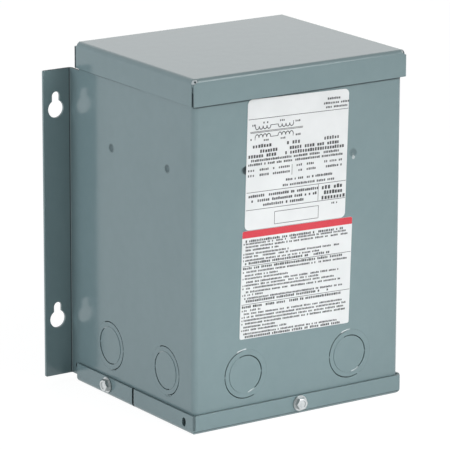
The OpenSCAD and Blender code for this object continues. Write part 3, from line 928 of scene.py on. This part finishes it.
def rating_print():
    """A bare heading, a winding diagram, a table of ratings and a write-on field."""
    place = label_place("rating_label", RATING_SIZE)
    columns = [(1.2, 4.4), (9.0, 14.2), (18.0, 28.5), (34.0, 36.8), (41.0, 46.3), (53.0, 64.3)]
    rows = [
        # the block right of the bare heading
        (54.0, 63.0, 5.1, 1.4),
        (51.5, 68.0, 7.6, 1.3),
        (53.0, 67.0, 9.9, 1.2),
        # what the windings' ends are called
        (2.0, 4.4, 15.4, 1.2),
        (10.6, 13.0, 14.3, 1.2),
        (21.8, 24.2, 14.1, 1.2),
        (32.4, 34.8, 15.4, 1.2),
        (2.2, 4.6, 23.3, 1.2),
        (11.2, 13.6, 24.3, 1.2),
        (22.6, 25.0, 24.3, 1.2),
        (32.8, 35.2, 23.3, 1.2),
        # ratings
        (4.0, 15.0, 27.8, 2.0),
        (27.0, 34.5, 27.8, 1.95),
        (49.0, 61.5, 27.8, 1.95),
        (9.0, 21.0, 30.8, 2.0),
        (29.0, 61.5, 30.8, 1.95),
        (1.2, 18.5, 33.4, 2.0),
        (26.0, 65.0, 33.4, 1.95),
        (3.0, 62.0, 35.6, 1.4),
        (1.2, 30.0, 37.8, 1.4),
        (33.0, 64.5, 37.8, 1.4),
        # connections, in two rows of the same columns
        *[(left, right, foot, 1.4) for foot in (41.0, 44.0) for left, right in columns],
        (27.0, 58.0, 48.6, 1.4),
        (25.0, 60.5, 51.6, 1.4),
        # the note and the block on its right
        (2.0, 48.6, 55.9, 1.6),
        (4.0, 47.2, 58.7, 1.6),
        (12.0, 38.6, 61.4, 1.6),
        (52.0, 66.5, 56.4, 2.2),
        (53.5, 64.8, 59.4, 2.2),
        (52.0, 66.5, 62.3, 2.2),
        (59.0, 62.2, 65.5, 1.1),
    ]
    lines = [
        (0.6, 11.3, 68.4, 11.3),
        (0.6, 52.9, 68.4, 52.9),
        (0.6, 62.9, 68.4, 62.9),
        (49.5, 52.9, 49.5, 62.9),
        (31.0, 39.5, 31.0, 45.6),
    ]
    field = [(20.0, 65.5), (50.0, 65.5), (50.0, 72.6), (20.0, 72.6)]
    lines += [(*here, *there) for here, there in zip(field, field[1:] + field[:1])]
    leads = [
        (5.3, 15.5, 5.3, 14.4),
        (31.0, 15.5, 31.0, 14.4),
        (5.3, 22.1, 5.3, 23.2),
        (31.0, 22.1, 31.0, 23.2),
        (15.6, 15.5, 20.7, 15.5),
        (15.6, 22.1, 20.7, 22.1),
    ]
    core = [(2.0, 18.5, 37.5, 18.5), (2.0, 19.1, 37.5, 19.1)]
    windings = [(x, y, side) for y, side in ((15.5, -1.45), (22.1, 1.45)) for x in (6.6, 22.0)]
    meshes = [
        print_rows("rating_rows", rows, place, 3),
        print_lines("rating_rules", lines, 0.3, place),
        print_lines("winding_leads", leads, 0.35, place),
        print_lines("winding_core", core, 0.3, place),
        print_windings("winding_turns", windings, 4, place),
    ]
    return join_pieces("rating_label_print", meshes)


def lower_print():
    """Three blocks of small print with ruled lines between them, under a plain band."""
    place = label_place("lower_label", LOWER_SIZE)
    left, indent, bullet = 1.0, 1.4, 0.5
    bold_cap, small_cap, bullet_cap = 1.45, 1.15, 1.0
    # each block: the feet of its rows, and which of them are bold and which have a bullet
    first = (6.6, 8.0, 9.8, 11.7, 13.8, 15.5, 17.5, 19.4)
    second = (22.2, 24.2, 26.2, 28.0, 30.1, 31.9, 33.7, 35.8, 37.5, 39.5, 41.3)
    third = (44.5, 46.5, 48.4, 50.3, 52.2, 54.1, 56.1, 57.9, 60.0, 61.9)
    blocks = [
        (first, (0, 7), (1, 3, 4, 5, 6)),
        (second, (0, 10), (1, 3, 5, 6, 8)),
        (third, (0, 9), (1, 3, 4, 5, 7)),
    ]
    # where the small rows end, taken in turn
    reach = (70.4, 66.0, 14.0, 71.5, 52.0, 69.0, 24.0, 63.0, 71.8, 31.0, 67.5)
    rows = []
    for feet, bold, bulleted in blocks:
        for k, foot in enumerate(feet):
            if k in bold:
                rows.append((left, 68.0 - 9.0 * (k % 3), foot, bold_cap))
                continue
            if k in bulleted:
                rows.append((left, left + bullet, foot, bullet_cap))
            rows.append((left + indent, reach[(k * 3 + len(feet)) % len(reach)], foot, small_cap))
    lines = [(0.8, 20.3, 75.0, 20.3), (0.8, 42.4, 75.0, 42.4)]
    meshes = [
        print_rows("lower_rows", rows, place, 11),
        print_lines("lower_rules", lines, 0.3, place),
    ]
    return join_pieces("lower_label_print", meshes)


def band():
    """A plain band of coloured ink along the top of the lower label."""
    width, radius = LOWER_SIZE[0], LOWER_CORNER_R
    inset, deep, steps = 0.05 * MM, 4.1 * MM, 8
    outline = [(width - inset, -deep), (inset, -deep)]
    for cx, start in ((radius, 180.0), (width - radius, 90.0)):
        for k in range(steps + 1):
            a = math.radians(start - 90.0 * k / steps)
            r = radius - inset
            outline.append((cx + r * math.cos(a), -radius + r * math.sin(a)))
    count = len(outline)
    points = [(x, y, z) for z in (0.0, INK_T) for x, y in outline]
    faces = [list(range(count))[::-1], list(range(count, 2 * count))]
    faces += [[k, (k + 1) % count, count + (k + 1) % count, count + k] for k in range(count)]
    mesh = bpy.data.meshes.new("lower_label_band")
    mesh.from_pydata(points, [], faces)
    mesh.transform(label_place("lower_label", LOWER_SIZE))
    mesh.flip_normals()
    mesh.materials.append(BAND_INK)
    return join_pieces("lower_label_band", [mesh])


def knockout_lips():
    """The lips of all six knockouts."""
    # how the lips are turned to stand on each wall
    wall_turns = {
        "front": (math.pi / 2, 0.0, 0.0),
        "left": (math.pi / 2, math.pi, -math.pi / 2),
        "right": (math.pi / 2, math.pi, math.pi / 2),
    }
    points, turns = [], []
    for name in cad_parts:
        if not name.startswith("knockout_ring"):
            continue
        low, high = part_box(name)
        x, y, z = (low + high) / 2
        faces = {"front": (x, low.y, z), "left": (low.x, y, z), "right": (high.x, y, z)}
        wall = name.split("_")[2]
        points.append(faces[wall])
        turns += wall_turns[wall]
    mesh = grown(
        "lips", points, [], [("turn", "FLOAT_VECTOR", turns)], KNOCKOUT_LIPS, {"Finish": LIP_ENAMEL}
    )
    return join_pieces("knockout_lips", [mesh])


def corner_closures():
    """Rounded corner pieces that close the lid's corners from inside, a little below its bends."""
    centre_in, radius, skin, drop, run = in_metres(2.7, 2.45, 1.0, 1.4, 1.4)
    # each row: how far it stands out, how far up, and how far down it is moved
    tilts = [math.radians(11.25 * k) for k in range(9)]
    rows = [(math.sin(tilt), math.cos(tilt), 0.0) for tilt in tilts] + [(1.0, 0.0, drop)]
    # each column: its turn, and how far it runs on past the corner
    columns = [(math.radians(-8 + 9.8 * k), 0.0) for k in range(11)] + [(math.radians(90), run)]
    tall, wide = len(rows), len(columns)
    # the outline of a sheet of that many points, counted along its rows
    rim = list(range(wide)) + [i * wide + wide - 1 for i in range(1, tall)]
    rim += [(tall - 1) * wide + j for j in range(wide - 2, -1, -1)]
    rim += [i * wide for i in range(tall - 2, 0, -1)]
    corners = [
        (sx, sy, x, y)
        for sx, x in ((-1, LID_LOW.x), (1, LID_HIGH.x))
        for sy, y in ((-1, LID_LOW.y), (1, LID_HIGH.y))
    ]
    points, faces = [], []
    for sx, sy, x, y in corners:
        outer, inner = len(points), len(points) + tall * wide
        for r in (radius, radius - skin):
            for out, up, down in rows:
                for turn, shift in columns:
                    across = r * out * math.cos(turn) - shift - centre_in
                    deep = r * out * math.sin(turn) - centre_in
                    height = LID_HIGH.z - centre_in + r * up - down
                    points.append((x + sx * across, y + sy * deep, height))
        for shell in (outer, inner):
            for i in range(tall - 1):
                for j in range(wide - 1):
                    k = shell + i * wide + j
                    faces.append((k, k + 1, k + wide + 1, k + wide))
        for here, there in zip(rim, rim[1:] + rim[:1]):
            faces.append((outer + here, outer + there, inner + there, inner + here))
    mesh = bpy.data.meshes.new("lid_corner_closures")
    mesh.from_pydata(points, [], faces)
    shape = bmesh.new()
    shape.from_mesh(mesh)
    bmesh.ops.remove_doubles(shape, verts=shape.verts, dist=0.01 * MM)
    bmesh.ops.recalc_face_normals(shape, faces=shape.faces)
    for face in shape.faces:
        face.smooth = True
    shape.to_mesh(mesh)
    shape.free()
    # Each pinhole is a dark round mark of painted shade in place of a relief hole, and the closures'
    # pale coat is a painted highlight.
    hole_in, hole_back, hole_down, hole_r = in_metres(1.9, 1.0, 1.6, 0.8)
    pinhole_shade = [
        ((x - sx * hole_in, y - sy * hole_back, LID_HIGH.z - hole_down), hole_r, 1.0)
        for sx, sy, x, y in corners
    ]
    finish = enamel_finish(
        "baked_enamel_on_closures", False, marks=pinhole_shade, coat=(PAINTED_HIGHLIGHT, PAINTED_HIGHLIGHT_PALE)
    )
    mesh.materials.append(finish)
    return join_pieces("lid_corner_closures", [mesh])


INK_ROWS = ink_rows_tree()
RULED_LINES = ruled_lines_tree()
WINDINGS = windings_tree()
KNOCKOUT_LIPS = knockout_lips_tree()

finish_nodes()
rating_print()
lower_print()
band()
knockout_lips()
corner_closures()

# ---- floor, light and camera ----


def seen_straight(g):
    """1 for rays from the camera, and for those that a glossy or clear surface sends on."""
    path = g.add("ShaderNodeLightPath").outputs
    seen = g.math("MAXIMUM", path["Is Camera Ray"], path["Is Glossy Ray"])
    return g.math("MAXIMUM", seen, path["Is Transmission Ray"])


def floor():
    """A pale floor. The camera sees it close to white with the object's shadow still on it."""
    mesh = bpy.data.meshes.new("floor")
    radius, sides = 6, 64
    ring = [math.tau * k / sides for k in range(sides)]
    points = [(radius * math.cos(a), radius * math.sin(a), 0) for a in ring]
    mesh.from_pydata(points, [], [list(range(sides))])
    material = bpy.data.materials.new("floor")
    material.use_nodes = True
    g = Graph(material.node_tree)
    g.tree.nodes.clear()
    seen = seen_straight(g)
    pale = g.add("ShaderNodeBsdfDiffuse", {"Color": (0.85, 0.85, 0.85, 1)})
    dim = g.add("ShaderNodeBsdfDiffuse", {"Color": (0.2, 0.2, 0.2, 1)})
    glow = g.add("ShaderNodeEmission", {"Color": (1, 1, 1, 1), "Strength": 0.92})
    lit = g.add("ShaderNodeAddShader", {0: dim.outputs[0], 1: glow.outputs[0]})
    both = g.add("ShaderNodeMixShader", {0: seen, 1: pale.outputs[0], 2: lit.outputs[0]})
    g.add("ShaderNodeOutputMaterial", {"Surface": both.outputs[0]})
    mesh.materials.append(material)
    made = bpy.data.objects.new("floor", mesh)
    bpy.context.scene.collection.objects.link(made)


def surroundings():
    """White all round for the camera and for reflections, and a softer level as light."""
    world = bpy.data.worlds.new("surroundings")
    world.use_nodes = True
    bpy.context.scene.world = world
    g = Graph(world.node_tree)
    g.tree.nodes.clear()
    as_light, as_seen = 0.30, 1.0
    strength = g.add(
        "ShaderNodeMix", {"Factor": seen_straight(g), 2: as_light, 3: as_seen}, data_type="FLOAT"
    )
    back = g.add("ShaderNodeBackground", {"Color": (1, 1, 1, 1), "Strength": strength.outputs[0]})
    g.add("ShaderNodeOutputWorld", {"Surface": back.outputs[0]})


def softbox(name, azimuth, elevation, distance, size, power, tint=(1, 1, 1), shows=True):
    """A square soft light aimed at the middle of the case. Azimuth 0 is straight in front, and 90 on
    its right. shows says whether glossy surfaces mirror it."""
    data = bpy.data.lights.new(name, "AREA")
    data.shape = "SQUARE"
    data.size = size
    data.energy = power
    data.color = tint
    a, e = math.radians(azimuth), math.radians(elevation)
    back = Vector((math.sin(a) * math.cos(e), -math.cos(a) * math.cos(e), math.sin(e)))
    light = bpy.data.objects.new(name, data)
    case_middle = Vector((0, 0, 0.1))
    light.location = case_middle + back * distance
    light.rotation_euler = (-back).to_track_quat("-Z", "Y").to_euler()
    light.visible_camera = False
    light.visible_glossy = shows
    bpy.context.scene.collection.objects.link(light)


def camera():
    """A long lens from the front left, a little above. Angles are in radians."""
    azimuth, elevation, roll = -0.59452, 0.26034, 0.0028
    distance, lens = 1.9719, 285.28
    centre = Vector((-0.0502, -0.06255, 0.11828))
    back = Vector(
        (
            math.sin(azimuth) * math.cos(elevation),
            -math.cos(azimuth) * math.cos(elevation),
            math.sin(elevation),
        )
    )
    level = (-back).cross(Vector((0, 0, 1))).normalized()
    above = level.cross(-back)
    right = math.cos(roll) * level + math.sin(roll) * above
    up = -math.sin(roll) * level + math.cos(roll) * above
    data = bpy.data.cameras.new("camera")
    data.sensor_width = 36.0
    data.lens = lens
    made = bpy.data.objects.new("camera", data)
    turned = Matrix((right, up, back)).transposed().to_4x4()
    made.matrix_world = Matrix.Translation(centre + back * distance) @ turned
    bpy.context.scene.collection.objects.link(made)
    bpy.context.scene.camera = made


floor()
surroundings()
softbox("key_front_right", 24, 36, 1.6, 0.8, 10.3)
softbox("low_front", -6, -12, 0.32, 0.1, 0.34, shows=False)
softbox("fill_left", -104, 12, 1.6, 1.0, 11.6, tint=(0.92, 0.955, 1.0), shows=False)
softbox("rear_sheen", 146, 16, 2.0, 1.6, 1.6)
camera()
bpy.context.scene.view_settings.view_transform = "Standard"
